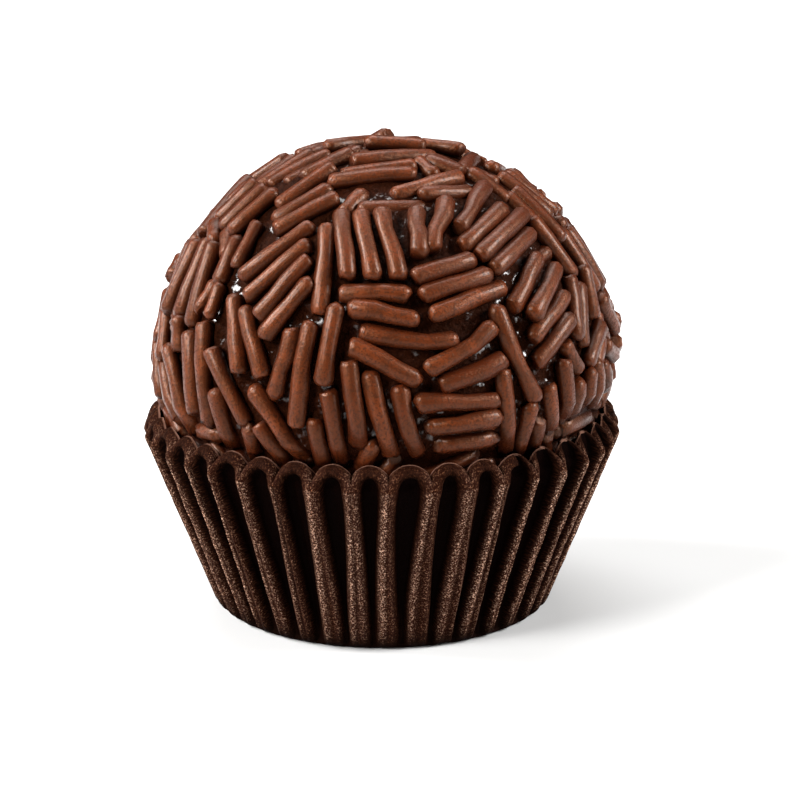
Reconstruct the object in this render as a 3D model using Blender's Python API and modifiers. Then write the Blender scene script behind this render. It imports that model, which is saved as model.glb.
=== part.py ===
"""Brigadeiro: a fudge ball rolled in chocolate sprinkles, standing in its pleated paper case.

Units are metres and +Z is up. The origin is the middle of the case's flat underside, which
is what the piece stands on. Run it with blender --background --python part.py, or from the
text editor.
"""

import math

import bmesh
import bpy
import numpy as np

MM = 0.001

# The paper case. Radii and heights are those of the paper's outer face.
PLEATS = 40
PAPER = 0.16 * MM
FLAT_RADIUS = 10.9 * MM       # flat underside
CORNER_RADIUS = 1.0 * MM      # rounded corner between underside and wall
FOLD_RADIUS = 16.35 * MM      # widest place: the crests, where the collar turns in
FOLD_HEIGHT = 12.15 * MM
RIM_RADIUS = 15.2 * MM        # cut edge of the collar, which leans in over the ball
RIM_HEIGHT = 13.8 * MM        # top of each scallop, over a valley
NOTCH_DEPTH = 0.5 * MM        # how far the cut edge dips over a crest
COLLAR_FOOT = 12.85 * MM      # where a valley runs out into the collar
PLEAT_DEPTH = 0.95 * MM       # crest to valley, half way up the wall
DEPTH_AT_FOOT = 0.55          # share of that depth where the wall begins
DEPTH_AT_FOLD = 0.85          # share of it just under the collar
PLEAT_WANDER = 0.12           # share of a pleat's width that its crest may sit off its place

# One pleat, as five steps around: middle of the crest, shoulder, valley, valley, shoulder.
FOLD_STEPS = (0.0, 0.0, 1.0, 1.0, 0.0)
COLUMNS = PLEATS * len(FOLD_STEPS)

# The ball, out to the tops of its sprinkles.
BALL_RADIUS = 16.0 * MM
BALL_HEIGHT = 16.55 * MM      # centre above the underside
BALL_ASIDE = 0.3 * MM         # the ball sits this far to +X in its case
SPRINKLE_WIDTH = 1.25 * MM
SPRINKLE_LENGTH = 4.4 * MM
SPRINKLE_PROUD = 0.9 * MM     # how far a sprinkle stands above the fudge
BUNCHES = 90                  # patches of side-by-side sprinkles
BALL_SAG = 1.03               # the lower half hangs this much deeper
GAP = 0.3 * MM                # left between the ball and the paper
WAIST = 0.6 * MM              # the ball stays pinched this far above the rim
SHOULDER = 1.8 * MM           # and has swollen out again by this height above it
BALL_DETAIL = 5

GOLDEN_ANGLE = math.pi * (3.0 - math.sqrt(5.0))


def empty_scene():
    """Removes what a new scene holds."""
    for thing in list(bpy.data.objects):
        bpy.data.objects.remove(thing)


def new_collection(name):
    """A collection under the scene's own."""
    collection = bpy.data.collections.new(name)
    bpy.context.scene.collection.children.link(collection)
    return collection


def new_material(name, color, roughness):
    """A Principled material of one colour."""
    material = bpy.data.materials.new(name)
    material.use_nodes = True
    shader = material.node_tree.nodes["Principled BSDF"]
    shader.inputs["Base Color"].default_value = (*color, 1.0)
    shader.inputs["Roughness"].default_value = roughness
    shader.inputs["Metallic"].default_value = 0.0
    return material


def new_object(name, mesh, material, collection):
    """Puts a mesh in the collection under a name and a material."""
    mesh.materials.append(material)
    thing = bpy.data.objects.new(name, mesh)
    collection.objects.link(thing)
    return thing


# ---------------------------------------------------------------- paper case

def wall_lean():
    """Angle of the wall from upright, along a crest."""
    rise = FOLD_HEIGHT - CORNER_RADIUS
    return math.atan2(FOLD_RADIUS - FLAT_RADIUS - CORNER_RADIUS, rise)


def corner_point(turn):
    """A point of the rounded corner: turn 0 is the underside, turn 1 the foot of the wall."""
    angle = turn * (math.pi / 2 - wall_lean())
    radius = FLAT_RADIUS + CORNER_RADIUS * math.sin(angle)
    height = CORNER_RADIUS * (1.0 - math.cos(angle))
    return radius, height


def wall_point(share):
    """A point of a crest on the straight wall, from its foot (0) to the collar (1)."""
    foot_radius, foot_height = corner_point(1.0)
    radius = foot_radius + share * (FOLD_RADIUS - foot_radius)
    height = foot_height + share * (FOLD_HEIGHT - foot_height)
    return radius, height


def case_rows():
    """Rings of the case from the middle of the underside to the cut edge.

    Each is (crest radius, crest height, valley radius, valley height).
    """
    rows = [(0.0, 0.0, 0.0, 0.0), (FLAT_RADIUS, 0.0, FLAT_RADIUS, 0.0)]
    for turn, depth_share in ((0.55, 0.3), (1.0, DEPTH_AT_FOOT)):
        radius, height = corner_point(turn)
        rows.append((radius, height, radius - depth_share * PLEAT_DEPTH, height))
    radius, height = wall_point(0.5)
    rows.append((radius, height, radius - PLEAT_DEPTH, height))
    valley = FOLD_RADIUS - DEPTH_AT_FOLD * PLEAT_DEPTH
    rows.append((FOLD_RADIUS, FOLD_HEIGHT, valley, COLLAR_FOOT))
    rows.append((RIM_RADIUS, RIM_HEIGHT, RIM_RADIUS, RIM_HEIGHT))
    return np.array(rows)


def rim_drop(step):
    """How far the cut edge is below a scallop's top: each scallop is an arc of a circle."""
    half_width = math.pi * RIM_RADIUS / PLEATS
    arc_radius = (half_width ** 2 + NOTCH_DEPTH ** 2) / (2.0 * NOTCH_DEPTH)
    from_top = half_width * (1.0 - 2.0 * np.minimum(step, 1.0 - step))
    return arc_radius - np.sqrt(arc_radius ** 2 - from_top ** 2)


def case_points():
    """Position of every ring and column of the case, as an array (rings, columns, 3)."""
    rows = case_rows()
    column = np.arange(COLUMNS)
    pleat, step = np.divmod(column, len(FOLD_STEPS))
    fold = np.array(FOLD_STEPS)[step]
    wander = np.random.default_rng(5).uniform(-PLEAT_WANDER, PLEAT_WANDER, PLEATS)
    angle = (pleat + wander[pleat] + step / len(FOLD_STEPS)) * 2.0 * math.pi / PLEATS
    crest_radius, crest_height, valley_radius, valley_height = rows.T[:, :, None]
    radius = crest_radius + fold * (valley_radius - crest_radius)
    height = crest_height + fold * (valley_height - crest_height)
    height[-1] -= rim_drop(step / len(FOLD_STEPS))
    return np.stack([radius * np.cos(angle), radius * np.sin(angle), height], axis=-1)


def make_case(collection):
    """The case: a flat grid rolled into a pleated cup, then given the paper's thickness."""
    points = case_points()
    rings = len(points)
    bm = bmesh.new()
    bmesh.ops.create_grid(bm, x_segments=COLUMNS, y_segments=rings - 1, size=0.5)
    for vertex in bm.verts:
        column = round((vertex.co.x + 0.5) * COLUMNS) % COLUMNS
        ring = round((vertex.co.y + 0.5) * (rings - 1))
        vertex.co = points[ring, column]
    bmesh.ops.remove_doubles(bm, verts=bm.verts, dist=0.01 * MM)
    bmesh.ops.recalc_face_normals(bm, faces=bm.faces)
    mesh = bpy.data.meshes.new("paper_case")
    bm.to_mesh(mesh)
    bm.free()
    paper = new_material("case_paper", (0.045, 0.022, 0.014), 0.75)
    case = new_object("paper_case", mesh, paper, collection)
    solidify = case.modifiers.new("paper", "SOLIDIFY")
    solidify.thickness = PAPER
    solidify.offset = -1.0
    return case


# ---------------------------------------------------------------- ball

def spiral_directions(count):
    """Unit vectors spread evenly over a sphere along a golden-angle spiral."""
    turn = np.arange(count) * GOLDEN_ANGLE
    upward = 1.0 - 2.0 * (np.arange(count) + 0.5) / count
    flat = np.sqrt(1.0 - upward ** 2)
    return np.stack([flat * np.cos(turn), flat * np.sin(turn), upward], axis=-1)


def sprinkle_relief(directions):
    """Relief of the sprinkles, 0 on the fudge to 1 along the top of a sprinkle.

    The sphere is shared out among the bunches. In each bunch the sprinkles lie side by side
    in the bunch's own direction, so the relief is a row of half-round ridges that end in a
    short gap at each sprinkle's length.
    """
    middles = spiral_directions(BUNCHES)
    bunch = np.argmax(directions @ middles.T, axis=1)
    middle = middles[bunch]
    east = np.cross(np.array([0.0, 0.0, 1.0]), middle)
    east /= np.linalg.norm(east, axis=1, keepdims=True)
    north = np.cross(middle, east)
    lie = (bunch * GOLDEN_ANGLE)[:, None]
    along = np.cos(lie) * east + np.sin(lie) * north
    across = np.cross(middle, along)
    side = np.sum(directions * across, axis=1) * BALL_RADIUS / SPRINKLE_WIDTH
    end = np.sum(directions * along, axis=1) * BALL_RADIUS / SPRINKLE_LENGTH
    ridge = np.sqrt(1.0 - (2.0 * np.abs(side - np.round(side))) ** 2)
    gap = (2.0 * np.abs(end - np.round(end))) ** 8
    return ridge * (1.0 - gap)


def room_in_case(height):
    """Largest radius that the ball may have at each height: inside the valleys, with the gap."""
    rows = case_rows()
    inside = rows[1:, 2] - PAPER - GAP
    heights = np.append(rows[1:, 3], (RIM_HEIGHT + WAIST, RIM_HEIGHT + SHOULDER))
    room = np.append(inside, (inside[-1], BALL_RADIUS + BALL_ASIDE))
    return np.interp(height, heights, room)


def make_ball(collection):
    """The ball: a sphere with the sprinkles' relief, pressed in where the paper holds it."""
    bm = bmesh.new()
    bmesh.ops.create_icosphere(bm, subdivisions=BALL_DETAIL, radius=1.0)
    directions = np.array([vertex.co for vertex in bm.verts])
    directions /= np.linalg.norm(directions, axis=1, keepdims=True)
    fudge_radius = BALL_RADIUS - SPRINKLE_PROUD
    reach = fudge_radius + SPRINKLE_PROUD * sprinkle_relief(directions)
    points = directions * reach[:, None]
    points[:, 2] *= np.where(points[:, 2] < 0.0, BALL_SAG, 1.0)
    points += (BALL_ASIDE, 0.0, BALL_HEIGHT)
    points[:, 2] = np.maximum(points[:, 2], PAPER + GAP)
    from_axis = np.hypot(points[:, 0], points[:, 1])
    room = room_in_case(points[:, 2])
    pressed = np.minimum(1.0, room / np.maximum(from_axis, MM))
    points[:, :2] *= pressed[:, None]
    for vertex, point in zip(bm.verts, points):
        vertex.co = point
    mesh = bpy.data.meshes.new("sprinkled_ball")
    bm.to_mesh(mesh)
    bm.free()
    mesh.shade_smooth()
    chocolate = new_material("sprinkled_fudge", (0.11, 0.042, 0.021), 0.5)
    return new_object("sprinkled_ball", mesh, chocolate, collection)


def main():
    empty_scene()
    collection = new_collection("brigadeiro")
    make_case(collection)
    make_ball(collection)


main()
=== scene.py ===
# %% [markdown]
# # A brigadeiro, finished in Blender
#
# A brigadeiro is a ball of cooked condensed milk and cocoa. The warm fudge is rolled between
# buttered palms, then in a tray of chocolate sprinkles, and is set down in a small pleated
# paper case. Three things are made here: the paper case, the fudge, and the sprinkles that
# cover it. Lengths are worked out in millimetres and turned to metres when a mesh is made.

# %% Load the frame
import math

import bpy
import numpy as np
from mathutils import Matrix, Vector


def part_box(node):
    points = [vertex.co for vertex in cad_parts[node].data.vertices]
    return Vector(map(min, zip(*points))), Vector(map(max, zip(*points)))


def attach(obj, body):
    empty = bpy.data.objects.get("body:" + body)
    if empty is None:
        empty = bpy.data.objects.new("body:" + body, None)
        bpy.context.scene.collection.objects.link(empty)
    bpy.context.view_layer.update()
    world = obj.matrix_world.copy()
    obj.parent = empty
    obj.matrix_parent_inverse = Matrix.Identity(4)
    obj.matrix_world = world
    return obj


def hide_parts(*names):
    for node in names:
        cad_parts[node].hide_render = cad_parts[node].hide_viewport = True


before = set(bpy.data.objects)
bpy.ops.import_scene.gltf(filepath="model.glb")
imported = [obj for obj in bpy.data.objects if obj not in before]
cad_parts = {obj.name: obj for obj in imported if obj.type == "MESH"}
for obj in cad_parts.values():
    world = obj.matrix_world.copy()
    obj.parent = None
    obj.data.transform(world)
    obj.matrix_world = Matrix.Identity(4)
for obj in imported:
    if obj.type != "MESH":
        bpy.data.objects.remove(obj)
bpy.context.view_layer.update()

MM = 0.001


def put(name, data):
    """A new object made of the given data, in the scene."""
    thing = bpy.data.objects.new(name, data)
    bpy.context.scene.collection.objects.link(thing)
    return thing


# %% [markdown]
# ## Where things are
#
# The frame says where the case and the ball stand, so the sizes below start from its boxes.
# The case's box gives the widest radius of the pleats. The ball's box gives how far it sits
# to one side in its case and, less the ball's radius, how high its middle is.

# %% Sizes from the frame
case_low, case_high = (np.array(corner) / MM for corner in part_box("paper_case"))
ball_low, ball_high = (np.array(corner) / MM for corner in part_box("sprinkled_ball"))

BALL_R = 16.0
BALL_AT = np.array([(ball_low[0] + ball_high[0]) / 2, 0.0, ball_high[2] - BALL_R])
FOLD_R = (case_high[0] - case_low[0]) / 2
print("ball middle", BALL_AT.round(2), "pleats reach radius", round(FOLD_R, 2))

# %% [markdown]
# ## The camera
#
# A long lens 18 cm away keeps the ball round and the case's two sides nearly the same. The
# camera looks a little down, so that the ball's top rows and the case's curved rim both show.
# It is aimed a little below and to the right of the ball's middle, which leaves room under
# the case. It could track an empty, but one helper aims the camera and the lights alike.

# %% Camera
CAMERA_RISE = math.radians(14.56)
CAMERA_AWAY = 180.0
CAMERA_LENS = 118.1
LOOK_AT = np.array([0.0, 0.0, 16.0])
AIM_RIGHT, AIM_BELOW = 1.24, 1.98
back = np.array([0.0, -math.cos(CAMERA_RISE), math.sin(CAMERA_RISE)])
up = np.array([0.0, math.sin(CAMERA_RISE), math.cos(CAMERA_RISE)])
right = np.array([1.0, 0.0, 0.0])


def aim(thing, place, target):
    """Puts a camera or light at a place, in mm, with its -Z axis towards the target."""
    thing.location = Vector(place) * MM
    thing.rotation_euler = Vector(target - place).to_track_quat("-Z", "Y").to_euler()


camera = put("camera", bpy.data.cameras.new("camera"))
camera.data.lens = CAMERA_LENS
camera.data.sensor_width = 36.0
camera.data.clip_start = 0.01
camera.data.clip_end = 20.0
aim(camera, LOOK_AT + CAMERA_AWAY * back, LOOK_AT + AIM_RIGHT * right - AIM_BELOW * up)
bpy.context.scene.camera = camera
print("camera at", [round(v, 4) for v in camera.location])

# %% [markdown]
# ## From numbers to a mesh
#
# Every piece is worked out as a whole array of points and a whole array of faces. One helper
# turns them into an object that rides on the frame's body and stands for the CAD solid.
# Another lists the four-cornered faces of a grid that closes on itself.

# %% Mesh helpers
def new_piece(name, points, faces, node):
    """An object from points in mm and faces, in place of a CAD node."""
    mesh = bpy.data.meshes.new(name)
    mesh.from_pydata((points * MM).tolist(), [], faces)
    mesh.shade_smooth()
    piece = put(name, mesh)
    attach(piece, "root")
    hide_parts(node)
    return piece


def grid_faces(rows, columns):
    """Corners of the faces between neighbouring rows, each row a closed ring of columns."""
    row, column = np.meshgrid(np.arange(rows - 1), np.arange(columns), indexing="ij")
    here = row * columns + column
    beside = row * columns + (column + 1) % columns
    return np.stack([here, beside, beside + columns, here + columns], -1).reshape(-1, 4)


def give_values(piece, name, values):
    """Stores one number at each point of the piece, for its material to read."""
    layer = piece.data.attributes.new(name, "FLOAT", "POINT")
    layer.data.foreach_set("value", np.asarray(values, np.float32).ravel())


def give_uv(piece, name, places):
    """Stores a flat place, in mm, at each corner of each face, as the piece's UV map."""
    layer = piece.data.uv_layers.new(name=name)
    layer.data.foreach_set("uv", np.asarray(places, np.float32).ravel())


def ease(share):
    """A share from 0 to 1 that starts and stops gently: 3 s squared less 2 s cubed."""
    share = np.clip(share, 0.0, 1.0)
    return share * share * (3.0 - 2.0 * share)


# %% [markdown]
# ## The paper case: one pleat
#
# The case is a disc of greaseproof paper pressed into a fluted mould. All round, the same
# fold repeats: a broad flat crest with a soft crease down its middle, a steep flank, and a
# deep narrow valley. A crest is as wide at its foot as at its top, because it is one strip of
# paper. The valleys take up the difference, so they narrow towards the base.
#
# It could be made by folding a strip and an array modifier, but real folds are never quite
# alike. So the section of a pleat is written as two curves of one number, `side`, which is 0
# at the middle of a crest and 1 at the middle of the valley beside it.

# %% Section of a pleat
PLEATS = 40
COLUMNS_EACH = 24
SECTION = np.array([0.0, 0.26, 0.5, 0.76, 1.0])  # crease, ridge, shoulder, flank foot, valley

columns = PLEATS * COLUMNS_EACH
pleat, step = np.divmod(np.arange(columns), COLUMNS_EACH)
side = step / COLUMNS_EACH * 2.0 - 1.0           # -1 and 1 are valleys, 0 is the crease
side_of = np.where(side < 0, -1.0, 1.0)
crease_share = np.abs(side)


def along_section(values):
    """Values at the five places of the section, joined by eased curves, for each column.

    values is a list of five arrays (rows, columns); the answer is (rows, columns).
    """
    found = np.zeros(np.broadcast_shapes(*(np.shape(v) for v in values), (columns,)))
    for first in range(4):
        start, stop = SECTION[first], SECTION[first + 1]
        share = ease((crease_share - start) / (stop - start))
        inside = (crease_share >= start) & (crease_share <= stop)
        between = values[first] + share * (values[first + 1] - values[first])
        found = np.where(inside, between, found)
    return found


print(columns, "columns around", PLEATS, "pleats")

# %% [markdown]
# ## The paper case: from the base to the rim
#
# Seen from the side, a crest runs out along the flat base, turns up round a small corner,
# rises in a straight leaning wall to the fold, and there bends in: the last millimetre and a
# half is a collar, a quarter of an ellipse that closes in over the ball. In the collar each
# valley is hooded over: its flanks open out like the arms of a Y, and the black of the fold
# ends in a round arch. The cut edge makes a small scallop over each valley with a sharp notch
# at each crest. Rows are listed from the middle of the base outwards.

# %% Rows of the case
FLAT_R = 10.9            # radius of the flat underside
CORNER_R = 1.0           # radius of the corner between underside and wall
FOLD_Z = 12.15           # height of a crest where the collar turns in
NOTCH_Z = 13.02          # height of the cut edge at a crest
RIM_R = 15.25            # radius of the cut edge
ARCH_TOP = 0.42          # share of the collar where the arch over a valley ends
SCALLOP_RISE = 0.78      # top of a scallop above the notches beside it
PAPER = 0.12             # thickness of the paper
LEAN = math.atan2(FOLD_R - FLAT_R - CORNER_R, FOLD_Z - CORNER_R)

base_r = np.array([0.0, 3.0, 6.0, 8.5, 9.7])
turn = np.linspace(0.0, 1.0, 8)
corner_r = FLAT_R + CORNER_R * np.sin(turn * (math.pi / 2 - LEAN))
corner_z = CORNER_R * (1.0 - np.cos(turn * (math.pi / 2 - LEAN)))
climb = np.append(np.linspace(0.0, 0.94, 12)[1:], [0.975, 1.0])
collar = np.array([0.07, 0.14, 0.21, 0.28, 0.34, 0.4, 0.46, 0.55, 0.67, 0.8, 0.9, 0.965, 1.0])
none = 0.0 * base_r

# for each row, the share of the wall that it has climbed, and the share of the collar
rise = np.concatenate([none, 0.0 * turn, climb, 0.0 * collar + 1.0])[:, None]
lift = np.concatenate([none, 0.0 * turn, 0.0 * climb, collar])[:, None]
wall_r = corner_r[-1] + climb * (FOLD_R - corner_r[-1])
wall_z = corner_z[-1] + climb * (FOLD_Z - corner_z[-1])
crest_r = np.concatenate(
    [base_r, corner_r, wall_r,
     FOLD_R - (FOLD_R - RIM_R) * (1.0 - np.cos(collar * math.pi / 2))])[:, None]
crest_z = np.concatenate(
    [none, corner_z, wall_z,
     FOLD_Z + np.sin(collar * math.pi / 2) * (NOTCH_Z - FOLD_Z)])[:, None]

# how deep the valleys are at each row, in mm; the collar has its own rule
depth = np.concatenate([
    none, 0.6 * ease((turn - 0.3) / 0.7), np.interp(climb, [0.0, 0.35, 1.0], [0.66, 1.0, 1.05]),
    0.0 * collar])[:, None]
print(len(crest_r), "rows, wall leans", round(math.degrees(LEAN), 1), "degrees")

# %% [markdown]
# ## The paper case: no two pleats alike
#
# The paper was pressed in a stack and has since held a sticky ball. Each pleat gets its own
# width, its own place, a slight bend up its height, a crease that may run off its middle,
# and its own depth, all from one seeded draw. At the right a few were crushed: their crests
# are narrow and sharp, and their valleys stay open almost to the cut edge. At the left a few
# crests are narrow too.

# %% Each pleat's own luck
KEEN_PLEAT = 6.5        # the pleats around this one are creased to a sharp corner
SLIM_PLEAT = 34.5       # and those around this one have narrow crests


def pleats_near(middle, reach):
    """1 for the pleats around one place, eased to 0 where the turn's cosine falls to reach."""
    return ease((np.cos(2.0 * math.pi / PLEATS * (pleat - middle)) - reach) / 0.1)


keen = pleats_near(KEEN_PLEAT, 0.84)
slim = pleats_near(SLIM_PLEAT, 0.8)
luck = np.random.default_rng(11)
own_width = (1.0 + luck.uniform(-0.13, 0.15, PLEATS))[pleat]    # of its crest, as a share
own_depth = (1.0 + luck.uniform(-0.14, 0.1, PLEATS))[pleat]     # of its valley, as a share
own_place = luck.uniform(-0.06, 0.06, PLEATS)                   # off its even place, in pleats
own_bend = luck.uniform(-0.09, 0.09, (2, PLEATS))               # as it climbs, in pleats
own_crease = luck.uniform(-0.04, 0.2, PLEATS)[pleat]            # off the crest's middle, mm
own_press = luck.uniform(0.4, 1.3, PLEATS)[pleat]               # how hard the crease is pressed
own_spread = luck.uniform(0.0, 1.0, PLEATS)[pleat]              # how far its foot spreads
own_highlight = np.where(side_of > 0,                                 # how strong the painted highlight on each ridge is
                   luck.uniform(0.1, 0.75, PLEATS)[pleat],
                   luck.uniform(0.45, 1.15, PLEATS)[pleat])
# crushed crests are narrower and keep to a plain fold; slim ones are only narrower
own_width = own_width * (1.0 - 0.46 * keen - 0.24 * slim)
own_press = own_press * (1.0 - 0.8 * keen)
own_spread = own_spread * (1.0 - 0.8 * keen)
print("crests are", own_width.min().round(2), "to", own_width.max().round(2), "of the usual width")

# %% Where each crest runs
CREST_PHASE = math.radians(1.9)


def crest_angle(which, height):
    """Angle of a crest: its even place, its own wander, and a slow bend as it climbs."""
    lap, which = np.divmod(which, PLEATS)
    bend = own_bend[0][which] * np.sin(3.0 * height) + own_bend[1][which] * (height - 0.6)
    even = lap * PLEATS + which + own_place[which] + bend * np.minimum(height * 4.0, 1.0)
    return CREST_PHASE - math.pi / 2 + even * 2.0 * math.pi / PLEATS


row_r = np.maximum(crest_r, 1.0)
here = crest_angle(pleat, rise)
half_pitch = np.abs(crest_angle(pleat + side_of.astype(int), rise) - here) / 2.0 * row_r
print("half a pleat is", half_pitch.min().round(2), "to", half_pitch.max().round(2), "mm wide")

# %% [markdown]
# ## The paper case: how wide and how deep
#
# The section's places are set in mm from the middle of a crest, not as shares of the pitch,
# which is what keeps a crest as wide below as above. The foot of a pleat spreads a little
# where it stands on the table. In the collar the flanks open out into the arch, as a power of
# the height, and nothing is ever wider than the pleat that it belongs to.

# %% Width of the section, row by row
RIDGE = 0.26             # mm from the middle of a crest of the usual width
SHOULDER = 0.52          # the same, to where the flank starts
FLANK_FOOT = 0.74        # the same, to where it ends
KEEN_ARCH_TOP = 0.93     # a crushed pleat's valley stays open up to this share of the collar

pleated = np.minimum(depth + lift, 1.0)          # 0 on the base, 1 where the pleats are deep
arch_top = ARCH_TOP + (KEEN_ARCH_TOP - ARCH_TOP) * keen
arch_open = (1.0 - np.minimum(lift / arch_top, 1.0) ** 1.6) ** 0.7    # 1 at its foot, 0 on top
flare = 0.07 * ease((rise - 0.9) / 0.1)
splay = 0.26 * (1.0 - 0.4 * keen) * (1.0 - rise) ** 1.4 * np.minimum(depth, 1.0)   # wider foot
spread = 0.28 * own_spread * (1.0 - rise) ** 1.3 * np.minimum(depth, 1.0)
wider = flare + splay + 0.4 * spread
shoulder = np.minimum(SHOULDER * own_width + wider, 0.7 * half_pitch)
flank_foot = np.minimum(FLANK_FOOT * own_width + wider, 0.88 * half_pitch)
shoulder = 0.66 * half_pitch + arch_open * (shoulder - 0.66 * half_pitch)
flank_foot = 0.97 * half_pitch + arch_open * (flank_foot - 0.97 * half_pitch)
ridge = (RIDGE - 0.08 * rise) * own_width + 0.5 * splay + spread
ridge = ridge * np.minimum(row_r / 11.0, 1.0)            # drawn together on the base
across = along_section([0.0 * ridge, ridge, shoulder, flank_foot, half_pitch])
slip = own_crease * ease(1.0 - crease_share / 0.5) * pleated
case_angle = here + (side_of * across + slip) / row_r
print("crests reach", float(ridge.max().round(2)), "mm, flanks", float(flank_foot.max().round(2)))

# %% Depth of the section, row by row
hood_dip = 0.16 * ease(lift / 0.2) * (1.0 - 0.7 * lift)
sunk = np.where(lift > 0, 1.05 * own_depth * arch_open ** 0.8 + hood_dip, depth * own_depth)
crease = ((0.12 - 0.05 * rise) * own_press + 0.8 * spread) * pleated
at_shoulder = np.minimum(0.26, 0.4 * sunk)
drop = along_section([crease, 0.0 * crease, at_shoulder, 0.94 * sunk, sunk])
print("pleats are", round(float(sunk.max()), 2), "mm deep at most")

# %% [markdown]
# ## The paper case: scallops, and a sheet that isn't quite true
#
# The cut edge over each valley is an arc of a circle, from one notch to the next. Its rise
# is shared out over the collar by the same quarter of an ellipse, so the paper bends evenly.
# Slow waves then move the wall in and out by a few hundredths of a millimetre. A displace
# modifier could do that too, but the paper's fit to the ball is easier to see in one array.

# %% Points of the case
arc_r = (half_pitch ** 2 + SCALLOP_RISE ** 2) / (2.0 * SCALLOP_RISE)
scallop = np.sqrt(arc_r ** 2 - (half_pitch - across) ** 2) - (arc_r - SCALLOP_RISE)
case_z = np.where(
    lift > 0, FOLD_Z + np.sin(lift * math.pi / 2) * (NOTCH_Z + scallop - FOLD_Z), crest_z)

# six slow waves, so that the paper isn't perfectly true: waves per lap, radians per mm up
WAVES = ((23, 1.1), (57, -0.9), (71, 1.9), (131, 0.7), (90, -2.6), (160, 3.1))
WAVE_SIZE = 0.014
phases = luck.uniform(0, 2 * math.pi, len(WAVES))
paper_wave = sum(np.sin(case_angle * around + case_z * upward + phase)
                 for (around, upward), phase in zip(WAVES, phases))
case_r = crest_r - drop + WAVE_SIZE * paper_wave * np.minimum(rise * 3.0, 1.0)
case_points = np.stack([case_r * np.cos(case_angle), case_r * np.sin(case_angle), case_z], -1)
print("case spans", case_points.reshape(-1, 3).min(0).round(2),
      case_points.reshape(-1, 3).max(0).round(2))

# %% Make the case
ring = np.arange(columns)
case_vertices = np.concatenate([case_points[1:].reshape(-1, 3), [[0.0, 0.0, 0.0]]])
wall_faces = grid_faces(len(crest_r) - 1, columns)
middle_faces = np.stack([(ring + 1) % columns, ring, np.full(columns, len(case_vertices) - 1)], -1)
case = new_piece("pleated_case", case_vertices, wall_faces.tolist() + middle_faces.tolist(),
                 "paper_case")
thick = case.modifiers.new("paper", "SOLIDIFY")
thick.thickness = PAPER * MM
thick.offset = -1.0
print("case faces:", len(case.data.polygons))

# %% [markdown]
# ## The paper case: what its finish needs to know
#
# Light and shade are painted into the paper's colour. Each point stores how deep in a fold it
# is, for painted shade, whether it is on a ridge or on the cut edge, for a painted highlight,
# and whether it is at the foot, for painted shade there. The UV map lays the paper out flat,
# in mm: sideways from the middle of each crest, upwards from the middle of the base. Each
# pleat is set off from the next, so that their fibres differ.

# %% Values and UV map of the case
PLEAT_APART = 7.3        # mm between one pleat and the next in the UV map


def with_middle(values):
    """The same values without the first row, and one for the middle point."""
    return np.append(np.broadcast_to(values, case_r.shape)[1:].ravel(), 0.0)


# painted shade: darker the deeper below a crest, with more along the crease and in the middle of
# each hood
shade = (drop / 0.9 + 0.27 * ease(lift / 0.5) * ease(across / half_pitch)
         + 0.18 * own_press * np.exp(-(across / 0.12) ** 2) * pleated)
give_values(case, "fold", with_middle(np.clip(shade, 0.0, 1.0)))
# painted highlight along each ridge, stronger on crushed pleats
highlight_width = 0.24 - 0.13 * keen - 0.05 * slim
ridge_highlight = ((own_highlight + 0.5 * keen) * np.exp(-((across - ridge) / highlight_width) ** 2)
          * pleated * (1.0 - lift))
give_values(case, "ridge_highlight", with_middle(ridge_highlight))
# painted highlight along the cut edge
give_values(case, "edge", with_middle(ease((lift - 0.93) / 0.06)))
# painted shade at the foot of the wall, where it meets the table
give_values(case, "foot_shade", with_middle(1.0 - ease((case_z - 0.3) / 0.9)))
paper_u = np.abs(across + 0.0 * case_r)[1:]
paper_v = np.cumsum(np.hypot(np.diff(crest_r[:, 0], prepend=0), np.diff(crest_z[:, 0], prepend=0)))
paper_v = (paper_v[:, None] + 0.0 * case_r)[1:]
face_column = np.arange(len(wall_faces)) % columns
strip = PLEAT_APART * (face_column // COLUMNS_EACH)[:, None]
wall_uv = np.stack([paper_u.ravel()[wall_faces] + strip, paper_v.ravel()[wall_faces]], -1)
middle_uv = np.zeros((columns, 3, 2))
give_uv(case, "paper", np.concatenate([wall_uv.reshape(-1, 2), middle_uv.reshape(-1, 2)]))
print("flat sheet, from its middle to a notch:", round(float(paper_v.max()), 1), "mm")

# %% [markdown]
# ## The ball's own map
#
# Sprinkles lie on a ball, so each is placed by its longitude and latitude on it, with 0, 0 at
# the front of its waist, and by its lie: the angle that it makes with the line to the east.

# %% Directions on the ball
AXIS_R = 15.43   # from the ball's middle to the middle of a sprinkle
WIDE = 1.25      # thickness of a usual sprinkle


def directions(lon, lat, lie):
    """Unit vectors outward, and along the sprinkle, for places and lies given in degrees."""
    lon, lat, lie = (np.radians(np.asarray(v, float))[..., None] for v in (lon, lat, lie))
    outward = np.concatenate(
        [np.cos(lat) * np.sin(lon), -np.cos(lat) * np.cos(lon), np.sin(lat)], -1)
    east = np.concatenate([np.cos(lon), np.sin(lon), 0.0 * lon], -1)
    north = np.cross(outward, east)
    along = np.cos(lie) * east + np.sin(lie) * north
    return outward, along


# %% [markdown]
# ## Sprinkles laid from a list
#
# On a well rolled ball the sprinkles don't point anywhere they like. They settle in bunches,
# three to six side by side, because a hand's pressure turns each one to lie along its
# neighbour. The front of the ball is laid in such bunches, listed one by one: the first
# sprinkle, the last one, and how many there are. The helper fills in those between.

# %% A helper that lays a bunch
laid = []


def lay(count, first, last=None, wide=WIDE, bow=0.0, lift=0.0):
    """A bunch of sprinkles. first and last are (longitude, latitude, lie, length).

    Angles are in degrees, the rest in mm. bow bends the middle aside, lift raises it all.
    """
    last = first if last is None else last
    for share in np.linspace(0.0, 1.0, count):
        place = np.array(first) + share * (np.array(last) - np.array(first))
        laid.append([*place, wide, bow, lift])


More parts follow.
